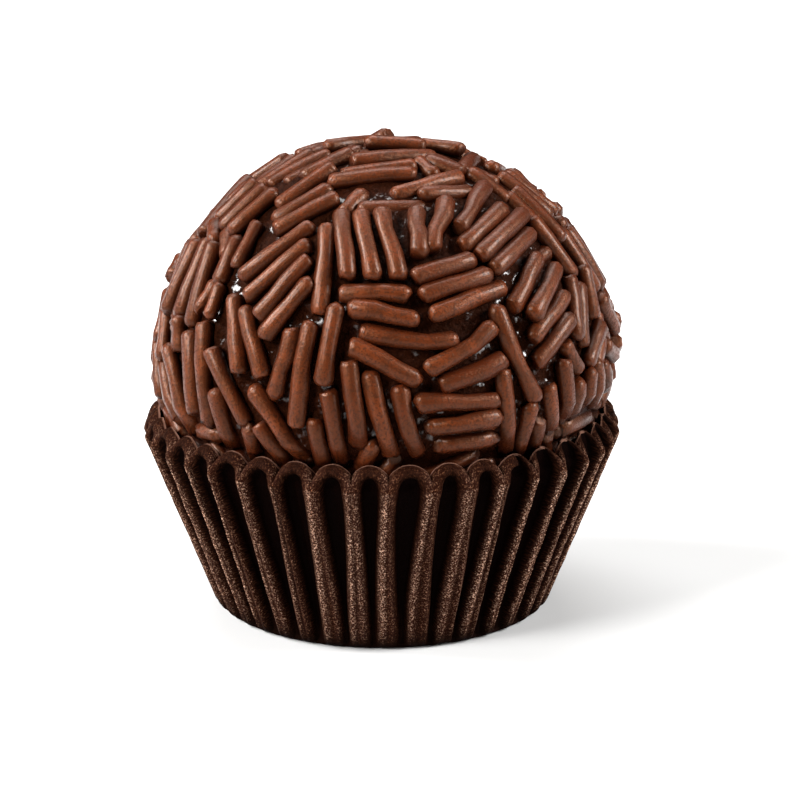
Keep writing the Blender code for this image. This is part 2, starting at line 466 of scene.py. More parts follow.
# %% Lay the crown, and the fan below it
lay(1, (-9, 67, 9, 5.7))
lay(1, (-6, 72, 8, 5.0))
lay(1, (10, 79, 10, 6.0))
lay(1, (50, 87, -50, 4.0), lift=0.4)
lay(1, (24, 63, 4, 5.6))
lay(1, (30, 60, 12, 4.0), lift=-0.2)
lay(1, (2, 57, 10, 4.5), lift=-0.3)
lay(1, (-14, 57, 80, 2.4), lift=-0.2)
lay(1, (80, 68, 5, 5.0))
lay(1, (-19.5, 37, 94, 6.2), bow=-0.12)
lay(3, (-14, 43.5, 104, 5.3), (1, 44, 100, 5.4))
lay(1, (11, 47, 78, 4.0))
lay(1, (19, 50, 71, 4.8))
print(len(laid), "laid on the crown")

# %% Lay the upper left, slanting up to the crown
lay(1, (-45, 61, 75, 4.7))
lay(2, (-39, 55, 59, 4.3), (-31.5, 51, 57, 4.7))
lay(4, (-37.5, 40, 55, 5.8), (-27, 26, 58, 4.8))
print(len(laid), "laid with the upper left")

# %% Lay the left
lay(3, (-58, 48.5, 83, 4.2), (-77, 49, 90, 3.8))
lay(1, (-50, 40, 100, 3.6), wide=1.1)
lay(1, (-54, 34, 105, 3.6))
lay(1, (-62, 27.5, 101, 5.8), wide=1.38)
lay(3, (-70, 27, 103, 5.6), (-84, 25, 95, 5.0))
lay(1, (-52, 25.5, 95, 2.4), wide=1.05)
lay(1, (-41, 18.5, 110, 5.2))
lay(1, (-35, 17, 115, 4.8))
lay(1, (-50, 7, 102, 6.8))
lay(1, (-56.5, 6, 110, 5.6), wide=1.36)
lay(1, (-62.5, 0, 123, 6.5))
lay(1, (-70.5, -2, 134, 4.7))
lay(1, (-66, 14, 110, 2.4))
lay(1, (-42, 5, 126, 5.6))
lay(1, (-43.5, -3.5, 102, 4.1), wide=1.36)
lay(1, (-27, -2.5, 130, 5.9))
lay(1, (-29, -7.5, 118, 3.4))
lay(1, (-35, -7, 90, 2.4))
print(len(laid), "laid with the left")

# %% Lay the upright ones left of the middle, and the middle
lay(1, (-26, 13, 83, 4.7))
lay(1, (-20.5, 11, 84, 6.8), bow=0.1)
lay(1, (-14, 18.5, 84, 5.2), bow=0.1)
lay(1, (-16.5, -6, 100, 3.6))
lay(1, (-12.5, -1.5, 99, 5.1))
lay(1, (-3.5, 30.5, -1, 4.5), bow=0.15)
lay(1, (-1, 26, -9, 4.6), bow=0.1)
lay(1, (5.5, 21, -5, 6.3), bow=-0.35)
lay(1, (-0.5, 14.5, -26, 5.0), wide=1.36)
lay(1, (-7.7, 4.5, 95, 5.7), bow=-0.1)
lay(1, (-1.7, 2, 105, 5.9), bow=0.1)
lay(1, (5.5, 0.5, 106, 5.0), bow=0.3)
lay(1, (-5, -8.5, 60, 2.4), lift=-0.3)
print(len(laid), "laid with the middle")

# %% Lay the right
lay(3, (17, 36.5, 12, 4.5), (22, 28.5, 16, 5.8))
lay(1, (18, 17.5, 29, 5.4), bow=-0.3)
lay(1, (21, 11.5, 17, 4.7), wide=1.36, bow=-0.15)
lay(3, (17, 4.7, 0, 5.6), (19.5, -5.7, 2, 4.2))
lay(1, (33.7, 14.5, 109, 6.8), bow=0.3)
lay(1, (30.5, 0.5, 102, 5.9), bow=0.15)
lay(1, (36, -5, 89, 4.0))
lay(1, (43, -1, 90, 3.5))
lay(1, (42, -7.5, 88, 2.6))
lay(1, (49, 3, 103, 4.3))
lay(1, (52, 10.5, 120, 2.6))
lay(1, (53.5, 0, 90, 2.6))
lay(1, (58, 2, 85, 2.6))
lay(1, (64, 2, 108, 3.6))
lay(1, (76, 7, 150, 3.2), wide=1.36)
lay(1, (70.5, 1.5, 125, 2.8))
lay(1, (58, -8, 2, 5.0), wide=1.4)
print(len(laid), "laid with the right")

# %% Lay the upper right
lay(1, (38, 54, 41, 5.6))
lay(1, (36.5, 47, 29, 5.3))
lay(2, (42, 44, 24, 6.2), (42.5, 39.5, 20, 5.5))
lay(1, (42.5, 31, 36, 4.9))
lay(3, (48, 27.5, 33, 5.5), (46.5, 15.5, 26, 4.6))
lay(1, (61, 60, 93, 3.4))
lay(1, (69, 46, 77, 4.9))
lay(1, (62, 37.5, 103, 4.8))
lay(3, (77, 52, 90, 4.5), (95, 50, 90, 4.5))
lay(3, (74, 31, 95, 4.8), (91, 29, 92, 5.0))
lay(2, (59, 21.5, 63, 4.5), (63, 18.5, 63, 4.5))
lay(1, (68, 23.5, 82, 3.6))
lay(1, (64, 11.5, 28, 4.0))
lay(1, (78, 15.5, 130, 4.0))

laid = np.array(laid)
print(len(laid), "sprinkles laid by hand")

# %% [markdown]
# ## The rest of the sprinkles
#
# The sides, back and underside are covered in the same way, but worked out. The sphere is
# shared among bunches spread along a golden-angle spiral. Each bunch is hatched with
# parallel rows in its own direction, and wherever a row runs over bare fudge for long
# enough, a sprinkle is laid there. Rows are tried on finer and finer bunches, so small
# bare places get short sprinkles last of all.

# %% Sprinkles as short chains of points
CHAIN = np.linspace(-1.0, 1.0, 7)


def chain_points(outward, along, half, bow):
    """Points along each sprinkle's middle line, pulled down onto the ball."""
    across = np.cross(outward, along)
    reach = half[:, None] * CHAIN
    bend = bow[:, None] * (1.0 - CHAIN ** 2)
    points = (AXIS_R * outward[:, None] + reach[..., None] * along[:, None]
              + bend[..., None] * across[:, None])
    return points * (AXIS_R / np.linalg.norm(points, axis=-1, keepdims=True))


def spiral(count):
    """Unit vectors spread evenly over a sphere: even steps in height, golden-angle turns."""
    turn = np.arange(count) * math.pi * (3.0 - math.sqrt(5.0))
    upward = 1.0 - 2.0 * (np.arange(count) + 0.5) / count
    flat = np.sqrt(1.0 - upward ** 2)
    return np.stack([flat * np.cos(turn), flat * np.sin(turn), upward], -1)


fill_luck = np.random.default_rng(23)
print("each chain has", len(CHAIN), "points")

# %% The listed ones, as arrays
out, along = directions(*laid[:, :3].T)
half = laid[:, 3] / 2 - laid[:, 4] / 2       # from the middle to where an end starts to round
rods = {"out": out, "along": along, "half": half, "wide": laid[:, 4], "bow": laid[:, 5],
        "lift": laid[:, 6], "laid": np.ones(len(laid))}
print("they are", laid[:, 3].min(), "to", laid[:, 3].max(), "mm long")

# %% Hatch a set of bunches
WALK_STEP = 0.2      # mm between the places tried along a row
LONGEST = 6.6        # mm; a longer run is cut in two
NEAR = 10.0          # mm around a bunch's middle in which sprinkles are looked for


def runs_of(mask):
    """(first, last) of each unbroken stretch of True."""
    edge = np.flatnonzero(np.diff(np.concatenate([[0], mask.astype(int), [0]])))
    return list(zip(edge[::2], edge[1::2] - 1))


def hatch(bunches, shortest, pitch, room, lift=0.0, front=-2.0):
    """Lays sprinkles along parallel rows wherever a row crosses bare fudge.

    Rows are pitch mm apart, and a run under the shortest length is left bare. room is the
    share of two sprinkles' thickness that must be free between their middles. Bunches further
    to the front than the given y of the unit sphere are left out.
    """
    middles = spiral(bunches)
    middles = middles + fill_luck.normal(0.0, 0.35 / math.sqrt(bunches), middles.shape)
    middles /= np.linalg.norm(middles, axis=1, keepdims=True)
    lies = fill_luck.uniform(0.0, math.pi, bunches)
    taken = chain_points(rods["out"], rods["along"], rods["half"], rods["bow"])
    taken = taken.reshape(-1, 3)
    taken_r = np.repeat(rods["wide"] / 2, len(CHAIN))
    new = {name: [] for name in rods}
    walk = np.arange(-5.5, 5.5, WALK_STEP)
    for which in np.argsort(-middles[:, 2]):
        middle = middles[which]
        if middle[1] < front:
            continue
        close = taken @ middle > AXIS_R * math.cos(NEAR / AXIS_R)
        near, near_r = taken[close], taken_r[close]
        east = np.cross([0.0, 0.0, 1.0], middle)
        east /= np.linalg.norm(east)
        lie_along = (math.cos(lies[which]) * east
                     + math.sin(lies[which]) * np.cross(middle, east))
        lie_across = np.cross(middle, lie_along)
        for row in np.arange(-4, 5) * pitch + fill_luck.uniform(0, pitch):
            wide = WIDE * fill_luck.uniform(0.9, 1.1)
            line = AXIS_R * middle + walk[:, None] * lie_along + row * lie_across
            line /= np.linalg.norm(line, axis=1, keepdims=True)
            own = np.argmax(line @ middles.T, axis=1) == which
            if not own.any():
                continue
            apart = np.linalg.norm(line[:, None] * AXIS_R - near[None], axis=2)
            free = own & (apart > (wide / 2 + near_r) * room).all(axis=1)
            for start, stop in runs_of(free):
                long = walk[stop] - walk[start] + wide * 0.9
                if long < shortest:
                    continue
                cuts = [(start, stop)]
                if long > LONGEST:
                    cut = int(start + (stop - start) * fill_luck.uniform(0.42, 0.58))
                    space = int(round(wide * 0.55 / WALK_STEP))
                    cuts = [(start, cut - space), (cut + space, stop)]
                for from_step, to_step in cuts:
                    ends = line[[from_step, to_step]] * AXIS_R
                    centre = ends.mean(0)
                    centre /= np.linalg.norm(centre)
                    tangent = ends[1] - ends[0]
                    size = np.linalg.norm(tangent)
                    if size < 0.8:
                        continue
                    tangent /= size
                    found = {"out": centre, "along": tangent, "half": size / 2, "wide": wide,
                             "bow": fill_luck.normal(0.0, 0.09), "lift": lift, "laid": 0.0}
                    for name, value in found.items():
                        new[name].append(value)
                    chain = chain_points(centre[None], tangent[None],
                                         np.array([size / 2]), np.zeros(1))[0]
                    near = np.concatenate([near, chain])
                    near_r = np.append(near_r, np.full(len(CHAIN), wide / 2))
                    taken = np.concatenate([taken, chain])
                    taken_r = np.append(taken_r, np.full(len(CHAIN), wide / 2))
    for name, values in new.items():
        if values:
            rods[name] = np.concatenate([rods[name], np.array(values)])
    return len(new["out"])


# %% Hatch the bare fudge
for bunches, shortest, pitch in ((125, 3.4, 1.2), (210, 2.6, 0.6), (420, 2.0, 0.4)):
    print("hatched", hatch(bunches, shortest, pitch, 0.93), "in", bunches, "bunches")
print(len(rods["out"]), "sprinkles in all")

# %% [markdown]
# ## Shaken apart
#
# Real sprinkles can't pass through each other. Each round of the loop finds the nearest
# points of every two neighbours. Where they overlap, the two are moved apart along the ball,
# and turned if they touch near an end. The listed ones are drawn back to their places,
# so the pattern holds.

# %% Push overlapping sprinkles apart
def pairs_near(out, half):
    """Pairs of sprinkles close enough to touch: half lengths and 1.4 mm of thickness apart."""
    apart = np.arccos(np.clip(out @ out.T, -1, 1)) * AXIS_R
    near = apart < half[:, None] + half[None] + 1.4
    return np.nonzero(np.triu(near, 1))


def settle(rounds):
    """Moves and turns sprinkles until neighbours only touch.

    Where two overlap, each is pushed by 0.3 of the overlap, along the line between their
    nearest points, and turned by that push times its arm over its own resistance.
    """
    home_out, home_along = rods["out"].copy(), rods["along"].copy()
    first, second = pairs_near(rods["out"], rods["half"])
    for _ in range(rounds):
        out, along = rods["out"], rods["along"]
        across = np.cross(out, along)
        chain = chain_points(out, along, rods["half"], rods["bow"])
        gap = chain[first][:, :, None] - chain[second][:, None]
        apart = np.linalg.norm(gap, axis=-1)
        closest = apart.reshape(len(first), -1).argmin(1)
        first_at, second_at = np.divmod(closest, len(CHAIN))
        index = np.arange(len(first))
        apart = apart[index, first_at, second_at]
        way = gap[index, first_at, second_at] / np.maximum(apart, 1e-6)[:, None]
        wanted = (rods["wide"][first] + rods["wide"][second]) / 2
        push = np.clip(wanted - apart, 0.0, 0.5) * 0.3
        shift = np.zeros_like(out)
        spin = np.zeros(len(out))
        for who, where, sign in ((first, first_at, 1.0), (second, second_at, -1.0)):
            force = sign * push[:, None] * way
            np.add.at(shift, who, force)
            arm = CHAIN[where] * rods["half"][who]
            sideways = (force * across[who]).sum(1)
            np.add.at(spin, who, sideways * arm / (rods["half"][who] ** 2 / 2 + 0.6))
        hold = np.where(rods["laid"] > 0, 0.12, 0.0)[:, None]
        out = out + shift / AXIS_R + hold * (home_out - out)
        out /= np.linalg.norm(out, axis=1, keepdims=True)
        along = along + np.clip(spin, -0.1, 0.1)[:, None] * across + hold * (home_along - along)
        along -= (along * out).sum(1, keepdims=True) * out
        along /= np.linalg.norm(along, axis=1, keepdims=True)
        rods["out"], rods["along"] = out, along
    over = np.zeros(len(out))
    np.maximum.at(over, first, wanted - apart)
    np.maximum.at(over, second, wanted - apart)
    return over


# %% Settle, then sink a few among the others
over = settle(60)
sunk_count = hatch(520, 1.9, 0.4, 0.72, lift=-0.36, front=-0.5)
print("sunk among the others:", sunk_count)
print("still overlapping by 0.25 mm or more:", int((over > 0.25).sum()),
      "most", round(float(over.max()), 2))

# %% [markdown]
# ## Room inside the case
#
# The ball was set down warm and has squeezed into its case, so the sprinkles and the fudge
# there lie against the paper. Any point that would go through it is drawn in towards the
# axis. A shrinkwrap onto a hidden cup would do the same, but this is one line of arithmetic.

# %% Room inside the case
def room_at(height):
    """Largest radius free at a height: the valleys' inner face, then the ball swelling out."""
    return np.interp(height, [0.0, 0.6, 4.6, FOLD_Z, 12.6, 13.8, 14.4, 15.1, 16.2, 17.0],
                     [10.2, 10.9, 12.15, 15.0, 15.05, 14.95, 15.35, 15.68, 16.0, 16.6])


def kept_inside(points, margin, lowest):
    """Points drawn in towards the axis where the case is in the way, and kept off its base.

    margin is left free inside the case's valleys, and lowest is the least height, in mm.
    """
    reach = np.hypot(points[..., 0], points[..., 1])
    allowed = room_at(points[..., 2]) - margin
    points[..., :2] *= np.minimum(1.0, allowed / np.maximum(reach, 1.0))[..., None]
    points[..., 2] = np.maximum(points[..., 2], lowest)
    return points


print("room at the fold:", round(float(room_at(FOLD_Z)), 2), "mm")

# %% [markdown]
# ## The shape of a sprinkle
#
# Sprinkles are pressed through a plate as long strings, dried, and tumbled until they snap.
# So each is a round rod, a little bowed, with two ends that are either snapped flat or worn
# round. It is a profile carried along a path: eight rings of eight points, and a flat face
# at each end. There are hundreds, so each has only 58 faces. Curves with a bevel would give
# the same rods, but not a tone and a broken end for each.

# %% Rings along each sprinkle
SIDES = 8
RINGS = 8
count = len(rods["out"])
shape_luck = np.random.default_rng(37)
worn = shape_luck.beta(0.9, 1.1, (count, 2))    # each end: 0 snapped flat, 1 worn round


def ring_places():
    """Each ring's place along its sprinkle and its radius, both in mm, for all sprinkles.

    Three rings close each end: inset is how far in from the end each one sits, and size its
    share of the sprinkle's radius. Two more rings stand between them.
    """
    half_long = (rods["half"] + rods["wide"] / 2)[:, None]
    inset = np.stack([0.0 * worn, 0.1 + 0.06 * worn, 0.36 + 0.06 * worn], -1)
    size = np.stack([0.67 - 0.26 * worn, 0.94 - 0.1 * worn, 1.03 + 0.02 * worn], -1)
    size = size * (1.0 + shape_luck.normal(0.0, 0.03, size.shape))
    thirds = half_long * (0.26 + shape_luck.uniform(-0.12, 0.12, (count, 2)))
    place = np.concatenate([-half_long + inset[:, 0], -thirds[:, :1], thirds[:, 1:],
                            half_long - inset[:, 1, ::-1]], 1)
    waist = 0.97 + shape_luck.normal(0.0, 0.06, (count, 2))
    scale = np.concatenate([size[:, 0], waist, size[:, 1, ::-1]], 1)
    taper = shape_luck.normal(0.0, 0.05, count)[:, None]
    scale = scale * (1.0 + taper * place / half_long)
    return place, scale * rods["wide"][:, None] / 2


place_along, ring_r = ring_places()
print("rings are", ring_r.min().round(2), "to", ring_r.max().round(2), "mm in radius")

# %% Paths of the sprinkles
HUG = 0.62               # share of the ball's curve that a stiff sprinkle follows
CROWN_SUNK = 0.38        # mm that the topmost sprinkles are pressed in deeper
ON_PAPER = 0.14          # height of the lowest a sprinkle may reach, mm

outward, along = rods["out"][:, None], rods["along"][:, None]
across = np.cross(rods["out"], rods["along"])[:, None]
share = place_along / (rods["half"] + rods["wide"] / 2)[:, None]
wriggle = shape_luck.normal(0.0, 0.1, count)[:, None]
bend = rods["bow"][:, None] * (1.0 - share ** 2) + wriggle * share * (1.0 - share ** 2) * 2.6
tip = shape_luck.normal(0.0, 0.12, count)[:, None] * share
crown = CROWN_SUNK * ease((rods["out"][:, 2] - 0.72) / 0.2)
lift_each = (rods["lift"] - crown + shape_luck.normal(0.0, 0.09, count))[:, None]
out_r = AXIS_R + lift_each + tip - HUG * place_along ** 2 / (2.0 * AXIS_R)
path = (out_r[..., None] * outward + place_along[..., None] * along
        + bend[..., None] * across + BALL_AT)
path = kept_inside(path, ring_r, ON_PAPER + ring_r)
print(count, "paths of", RINGS, "rings")

# %% Points of the skin
forward = np.gradient(path, axis=1)
forward /= np.linalg.norm(forward, axis=-1, keepdims=True)
upward = np.broadcast_to(outward, path.shape)
upward = upward - (upward * forward).sum(-1, keepdims=True) * forward
upward /= np.linalg.norm(upward, axis=-1, keepdims=True)
sideways = np.cross(forward, upward)
angle = (np.arange(SIDES) + 0.5) * 2 * math.pi / SIDES
flat = shape_luck.uniform(0.9, 1.0, (count, 1, 1))      # pressed a little flat by the palm
lump = 1.0 + shape_luck.normal(0.0, 0.012, (count, RINGS, SIDES))
ring_size = ring_r[..., None] * lump
rod_points = (path[:, :, None]
              + (ring_size * np.cos(angle) * flat)[..., None] * upward[:, :, None]
              + (ring_size * np.sin(angle))[..., None] * sideways[:, :, None])
tilt = shape_luck.uniform(-0.35, 0.35, (count, 2, 2))   # slope of each end's break
for end, ring_at in enumerate((0, RINGS - 1)):
    slope = tilt[:, end, :1] * np.cos(angle) + tilt[:, end, 1:] * np.sin(angle)
    lean = slope * ring_r[:, ring_at, None]
    rod_points[:, ring_at] += lean[..., None] * forward[:, ring_at, None]
print("skin of", rod_points[..., 0].size, "points")

# %% Make the sprinkles
band = grid_faces(RINGS, SIDES)
start = np.arange(count)[:, None, None] * RINGS * SIDES
quads = (band[None] + start).reshape(-1, 4)[:, ::-1]
first_cap = np.arange(SIDES)
last_cap = np.arange(SIDES)[::-1] + (RINGS - 1) * SIDES
caps = (np.stack([first_cap, last_cap])[None] + start).reshape(-1, SIDES)
sprinkles = new_piece("chocolate_sprinkles", rod_points.reshape(-1, 3),
                      quads.tolist() + caps.tolist(), "sprinkled_ball")
smooth = np.ones(len(quads) + len(caps), bool)
smooth[len(quads):] = worn.ravel() > 0.25
sprinkles.data.polygons.foreach_set("use_smooth", smooth)
print("sprinkles:", len(sprinkles.data.polygons), "faces")

# %% Values of the sprinkles
tone = shape_luck.uniform(0.0, 1.0, count)
give_values(sprinkles, "tone", np.repeat(tone, RINGS * SIDES))
from_middle = np.linalg.norm(rod_points - BALL_AT, axis=-1)
# painted shade: 1 on a sprinkle's back, 0 on the side that lies in the fudge and deep among the
# others, where the colour is darkened
unshaded = ease((np.cos(angle) + 0.32) / 1.15) * ease((from_middle - 14.8) / 0.6)
give_values(sprinkles, "unshaded", unshaded)
print("left bare:", round(100 * float(unshaded.mean())), "% of the sprinkles' skin")

# %% [markdown]
# ## The fudge
#
# Between the sprinkles the fudge shows, dark and wet with butter. It isn't smooth: every
# sprinkle that was pressed in has pushed a small wall of fudge up beside it. The surface is a
# function of longitude and latitude: a sphere with slow swellings from seeded waves, and a
# bank beside each sprinkle. It could be sculpted, but this follows the sprinkles.

# %% Swellings and banks of the fudge
BANK_HIGH = 0.3      # mm that the fudge is pushed up beside a sprinkle, at most
BANK_WIDE = 0.32     # mm over which it dies away
wave_luck = np.random.default_rng(51)


def swell(points, size, count):
    """Sum of seeded plane waves about one size long, from -1 to 1."""
    ways = wave_luck.normal(size=(count, 3))
    ways *= 2 * math.pi / size / np.linalg.norm(ways, axis=1, keepdims=True)
    phase = wave_luck.uniform(0, 2 * math.pi, count)
    return np.sin(points @ ways.T + phase).sum(-1) / math.sqrt(count * 2)


def pushed_up(outs):
    """How far the fudge stands up beside sprinkles, in mm.

    For each sprinkle it is half to all of BANK_HIGH, times e to the minus square of the
    distance from the sprinkle's side over BANK_WIDE. Where banks meet, the highest counts.
    """
    bank = np.zeros(outs.shape[:-1])
    chains = chain_points(rods["out"], rods["along"], rods["half"], rods["bow"])
    height = BANK_HIGH * (0.5 + 0.5 * wave_luck.uniform(size=count))
    for chain, middle, wide, tall in zip(chains, rods["out"], rods["wide"], height):
        near = outs @ middle > math.cos(5.0 / AXIS_R)
        apart = np.linalg.norm(outs[near][:, None] * AXIS_R - chain, axis=-1).min(1)
        lift_here = tall * np.exp(-((apart - wide / 2) / BANK_WIDE) ** 2)
        bank[near] = np.maximum(bank[near], lift_here)
    return bank


# %% Make the fudge
FUDGE_R = 14.92
lat_count, lon_count = 180, 360
lat = np.linspace(-89.0, 89.0, lat_count)[:, None]
lon = np.arange(lon_count)[None] * 360.0 / lon_count
outs, _ = directions(lon + 0 * lat, lat + 0 * lon, 0 * lat + 0 * lon)
fudge_r = FUDGE_R + 0.08 * swell(outs * 16, 3.2, 14) + 0.06 * swell(outs * 16, 1.3, 18)
fudge_r = fudge_r - 0.2 * ease((outs[..., 2] - 0.82) / 0.18) + pushed_up(outs)
fudge_points = kept_inside(outs * fudge_r[..., None] + BALL_AT, margin=0.6, lowest=0.3)
poles = np.array([fudge_points[0].mean(0), fudge_points[-1].mean(0)])
vertices = np.concatenate([fudge_points.reshape(-1, 3), poles])
body = grid_faces(lat_count, lon_count)
ring = np.arange(lon_count)
south = np.stack([ring, np.full(lon_count, len(vertices) - 2), (ring + 1) % lon_count], -1)
top = (lat_count - 1) * lon_count
north = np.stack([top + (ring + 1) % lon_count, np.full(lon_count, len(vertices) - 1),
                  top + ring], -1)
fudge = new_piece("fudge_ball", vertices, body.tolist() + south.tolist() + north.tolist(),
                  "sprinkled_ball")
print("fudge:", len(fudge.data.polygons), "faces, radius", fudge_r.min().round(2), "to",
      fudge_r.max().round(2))

# %% [markdown]
# ## Finishes
#
# All three finishes have a grain too fine to model: specks in the chocolate, lumps in the
# fudge, fibres in the paper. They share one node group, which reads noise at the piece's own
# coordinates, so the grain stays on the piece when it moves. A group like this gives out only
# a mask and a height. The shader itself stays in each material, where it can be seen.

# %% Materials and nodes
def material_nodes(name, roughness, specular):
    """A new Principled material: itself, its node tree and its shader."""
    material = bpy.data.materials.new(name)
    material.use_nodes = True
    shader = material.node_tree.nodes["Principled BSDF"]
    shader.inputs["Roughness"].default_value = roughness
    shader.inputs["Specular IOR Level"].default_value = specular
    return material, material.node_tree, shader


def node(tree, kind, **settings):
    """A new node with its properties set."""
    made = tree.nodes.new(kind)
    for name, value in settings.items():
        setattr(made, name, value)
    return made


# %% The fine grain
def grain_group():
    """Fine grain: noise on the piece's own coordinates, as a mask and as a bump's height.

    The noise's scale is 1000 over the size in mm, because the coordinates are in metres. The
    mask rises from 0 where the noise is at Low to 1 where it is at High.
    """
    group = bpy.data.node_groups.new("fine_grain", "ShaderNodeTree")
    for name, way in (("Size mm", "INPUT"), ("Low", "INPUT"), ("High", "INPUT"),
                      ("Mask", "OUTPUT"), ("Height", "OUTPUT")):
        group.interface.new_socket(name=name, in_out=way, socket_type="NodeSocketFloat")
    inside, outside = node(group, "NodeGroupInput"), node(group, "NodeGroupOutput")
    place = node(group, "ShaderNodeTexCoord")
    scale = node(group, "ShaderNodeMath", operation="DIVIDE")
    scale.inputs[0].default_value = 1000.0
    noise = node(group, "ShaderNodeTexNoise")
    noise.inputs["Detail"].default_value = 4.0
    noise.inputs["Roughness"].default_value = 0.6
    spread = node(group, "ShaderNodeMapRange")
    link = group.links.new
    link(inside.outputs["Size mm"], scale.inputs[1])
    link(place.outputs["Object"], noise.inputs["Vector"])
    link(scale.outputs[0], noise.inputs["Scale"])
    link(noise.outputs[0], spread.inputs["Value"])
    link(inside.outputs["Low"], spread.inputs["From Min"])
    link(inside.outputs["High"], spread.inputs["From Max"])
    link(spread.outputs[0], outside.inputs["Mask"])
    link(noise.outputs[0], outside.inputs["Height"])
    return group


fine_grain = grain_group()


def add_grain(tree, size, low, high):
    """Places the fine grain in a material with its own values."""
    made = node(tree, "ShaderNodeGroup", node_tree=fine_grain)
    made.inputs["Size mm"].default_value = size
    made.inputs["Low"].default_value = low
    made.inputs["High"].default_value = high
    return made


print("fine grain:", len(fine_grain.nodes), "nodes")

# %% [markdown]
# ## Colours led by masks
#
# Each finish is a stack of colour mixes, and every mix is led by a mask: grain, a stored
# value, or a range of one. These helpers keep that stack one line a layer. Colour ramps would
# do as well, but a mix can be led by any socket, and its two colours stay side by side.

# %% Mixes, ranges and bumps
def mixed(tree, factor, first, second):
    """First colour at factor 0, second at 1. Each of the three is a socket or a value.

    A colour mix has them at its inputs 0, 6 and 7; those between belong to other mixes.
    """
    mix = node(tree, "ShaderNodeMix", data_type="RGBA")
    for socket, value in zip((mix.inputs[0], mix.inputs[6], mix.inputs[7]),
                             (factor, first, second)):
        if isinstance(value, bpy.types.NodeSocket):
            tree.links.new(value, socket)
        elif isinstance(value, tuple):
            socket.default_value = (*value, 1.0)
        else:
            socket.default_value = value
    return mix.outputs[2]


def mapped(tree, value, low, high, to=(0.0, 1.0), kind="LINEAR"):
    """A socket's value carried from the range low to high onto the range to."""
    made = node(tree, "ShaderNodeMapRange", interpolation_type=kind)
    made.inputs["From Min"].default_value = low
    made.inputs["From Max"].default_value = high
    made.inputs["To Min"].default_value = to[0]
    made.inputs["To Max"].default_value = to[1]
    tree.links.new(value, made.inputs["Value"])
    return made.outputs[0]


def bumped(tree, shader, height, distance):
    """A bump of the given distance, in mm, from a height socket."""
    bump = node(tree, "ShaderNodeBump")
    bump.inputs["Distance"].default_value = distance * MM
    bump.inputs["Strength"].default_value = 1.0
    tree.links.new(height, bump.inputs["Height"])
    tree.links.new(bump.outputs[0], shader.inputs["Normal"])


def value_of(tree, name):
    """The socket that gives a stored value."""
    return node(tree, "ShaderNodeAttribute", attribute_name=name).outputs["Fac"]


# %% [markdown]
# ## The sprinkles' finish
#
# Milk chocolate sprinkles have a faint sugar glaze, so they shine softly and show dark specks.
# The body is a deep reddish brown. Each sprinkle's own tone, stored on its points, moves it
# between two browns, and a slow cloud darkens parts of it. The reflection is tinted, because
# a neutral one would grey the brown. The specks are also rougher, which breaks up the shine.
# Painted shade darkens each sprinkle's underside, where it lies in the fudge and deep among the
# others, until its colour falls to the fudge's own.

# %% Sprinkle material
WARM_SHINE = (1.0, 0.44, 0.2, 1.0)
DARK_BROWN = (0.052, 0.0080, 0.0016)
WARM_BROWN = (0.108, 0.0220, 0.0058)
CLOUD_BROWN = (0.043, 0.0088, 0.0025)
SPECK_BROWN = (0.020, 0.0036, 0.0012)
UNDERSIDE_SHADE = (0.009, 0.0014, 0.0005)

chocolate, tree, shader = material_nodes("sprinkle_chocolate", 0.3, 0.31)
shader.inputs["Specular Tint"].default_value = WARM_SHINE
shader.inputs["Coat Weight"].default_value = 0.12
shader.inputs["Coat Roughness"].default_value = 0.22
speck = add_grain(tree, 0.16, 0.51, 0.58)
cloud = add_grain(tree, 1.1, 0.35, 0.65)
colour = mixed(tree, value_of(tree, "tone"), DARK_BROWN, WARM_BROWN)
colour = mixed(tree, cloud.outputs["Mask"], colour, CLOUD_BROWN)
dark = mapped(tree, speck.outputs["Mask"], 0.0, 1.0, to=(0.0, 0.85))
colour = mixed(tree, dark, colour, SPECK_BROWN)
# painted shade: each sprinkle darkens to near black on its underside and deep among the others
colour = mixed(tree, value_of(tree, "unshaded"), UNDERSIDE_SHADE, colour)
tree.links.new(colour, shader.inputs["Base Color"])
rough = mapped(tree, speck.outputs["Mask"], 0.0, 1.0, to=(0.3, 0.6))
tree.links.new(rough, shader.inputs["Roughness"])
bumped(tree, shader, speck.outputs["Height"], 0.055)
sprinkles.data.materials.append(chocolate)
print(chocolate.name, "has", len(tree.nodes), "nodes")

# %% [markdown]
# ## The fudge's finish
#
# Cooked fudge is almost black in the gaps and is wet only in places. The base barely
# reflects. A clear coat lies over it where a noise mask says so, and small lumps bend its
# reflection, so each wet place breaks into a few bright points.

# %% Fudge material
FUDGE_DARK = (0.006, 0.0011, 0.0004)
FUDGE_LIGHT = (0.017, 0.0038, 0.0014)

dark_fudge, tree, shader = material_nodes("glossy_fudge", 0.5, 0.04)
shader.inputs["Specular Tint"].default_value = WARM_SHINE
shader.inputs["Coat Roughness"].default_value = 0.14
lumps = add_grain(tree, 0.3, 0.35, 0.65)
wet = add_grain(tree, 0.6, 0.53, 0.66)
colour = mixed(tree, lumps.outputs["Mask"], FUDGE_DARK, FUDGE_LIGHT)
tree.links.new(colour, shader.inputs["Base Color"])
tree.links.new(wet.outputs["Mask"], shader.inputs["Coat Weight"])
bumped(tree, shader, lumps.outputs["Height"], 0.2)
fudge.data.materials.append(dark_fudge)
print(dark_fudge.name, "has", len(tree.nodes), "nodes")
